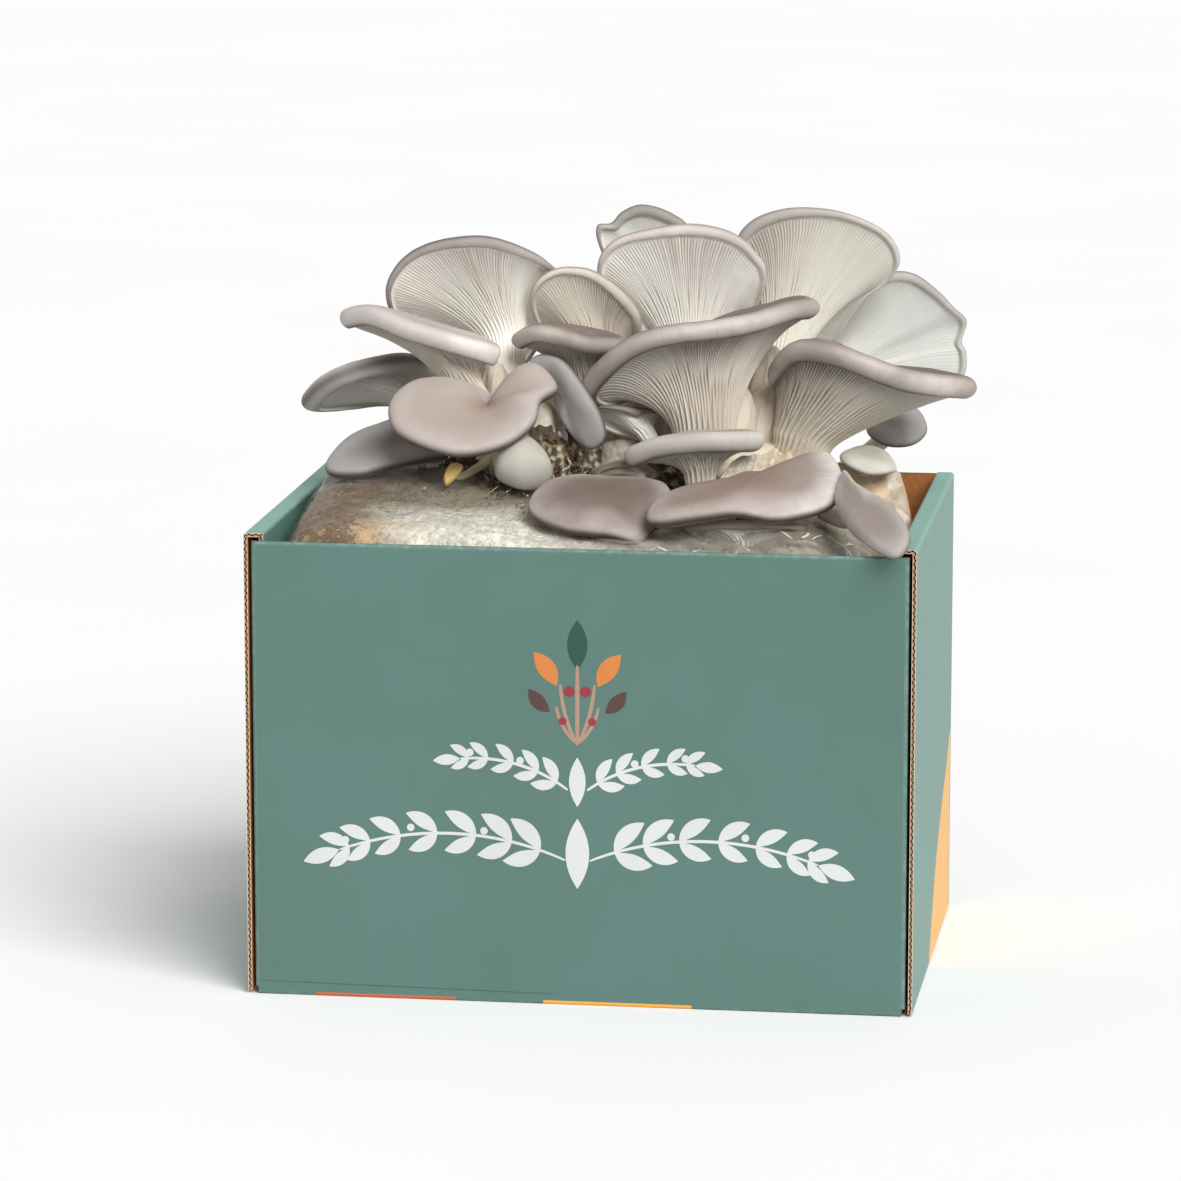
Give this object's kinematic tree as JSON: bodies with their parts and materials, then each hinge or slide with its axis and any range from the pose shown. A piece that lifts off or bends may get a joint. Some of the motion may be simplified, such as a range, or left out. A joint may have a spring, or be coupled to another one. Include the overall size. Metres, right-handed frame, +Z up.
{
  "type": "mushroom grow kit",
  "caption": "Open-topped folded cardboard carton holding a bagged substrate block, with clusters of oyster mushrooms growing out of its top.",
  "frame": {"origin": "middle of the carton's underside", "axes": "+Z up, -Y towards the carton's printed front panel, +X to the right of someone facing the front"},
  "size_m": [0.2944, 0.2252, 0.3153],
  "materials": {
    "carton": "printed matt, brown raw edges",
    "substrate_block": "matt",
    "grow_bag": "clear glossy film",
    "left_cluster_base": "matt flesh",
    "middle_cluster_base": "matt flesh",
    "right_cluster_base": "matt flesh",
    "left_fan_mushroom": "satin flesh",
    "left_funnel_mushroom": "satin flesh",
    "left_low_mushroom": "satin flesh",
    "left_kidney_mushroom": "satin flesh",
    "left_corner_mushroom": "satin flesh",
    "white_egg_mushroom": "satin flesh",
    "yellow_bud": "satin flesh",
    "middle_fan_mushroom": "satin flesh",
    "middle_funnel_mushroom": "satin flesh",
    "finger_mushroom": "satin flesh",
    "side_gilled_mushroom": "satin flesh",
    "back_lobed_mushroom": "satin flesh",
    "centre_fan_mushroom": "satin flesh",
    "back_right_fan_mushroom": "satin flesh",
    "far_right_fan_mushroom": "satin flesh",
    "small_fan_mushroom": "satin flesh",
    "centre_funnel_mushroom": "satin flesh",
    "right_funnel_mushroom": "satin flesh",
    "flat_mushroom": "satin flesh",
    "front_left_mushroom": "satin flesh",
    "curled_bud": "satin flesh",
    "front_long_mushroom": "satin flesh",
    "corner_tongue_mushroom": "satin flesh",
    "grey_back_mushroom": "satin flesh",
    "white_button_mushroom": "satin flesh",
    "low_gilled_mushroom": "satin flesh"
  },
  "bodies": {
    "root": {"carton": "carton", "substrate_block": "substrate_block", "grow_bag": "grow_bag", "left_cluster_base": "left_cluster_base", "middle_cluster_base": "middle_cluster_base", "right_cluster_base": "right_cluster_base", "left_fan_mushroom": "left_fan_mushroom", "left_funnel_mushroom": "left_funnel_mushroom", "left_low_mushroom": "left_low_mushroom", "left_kidney_mushroom": "left_kidney_mushroom", "left_corner_mushroom": "left_corner_mushroom", "white_egg_mushroom": "white_egg_mushroom", "yellow_bud": "yellow_bud", "middle_fan_mushroom": "middle_fan_mushroom", "middle_funnel_mushroom": "middle_funnel_mushroom", "finger_mushroom": "finger_mushroom", "side_gilled_mushroom": "side_gilled_mushroom", "back_lobed_mushroom": "back_lobed_mushroom", "centre_fan_mushroom": "centre_fan_mushroom", "back_right_fan_mushroom": "back_right_fan_mushroom", "far_right_fan_mushroom": "far_right_fan_mushroom", "small_fan_mushroom": "small_fan_mushroom", "centre_funnel_mushroom": "centre_funnel_mushroom", "right_funnel_mushroom": "right_funnel_mushroom", "flat_mushroom": "flat_mushroom", "front_left_mushroom": "front_left_mushroom", "curled_bud": "curled_bud", "front_long_mushroom": "front_long_mushroom", "corner_tongue_mushroom": "corner_tongue_mushroom", "grey_back_mushroom": "grey_back_mushroom", "white_button_mushroom": "white_button_mushroom", "low_gilled_mushroom": "low_gilled_mushroom"}
  },
  "joints": []
}
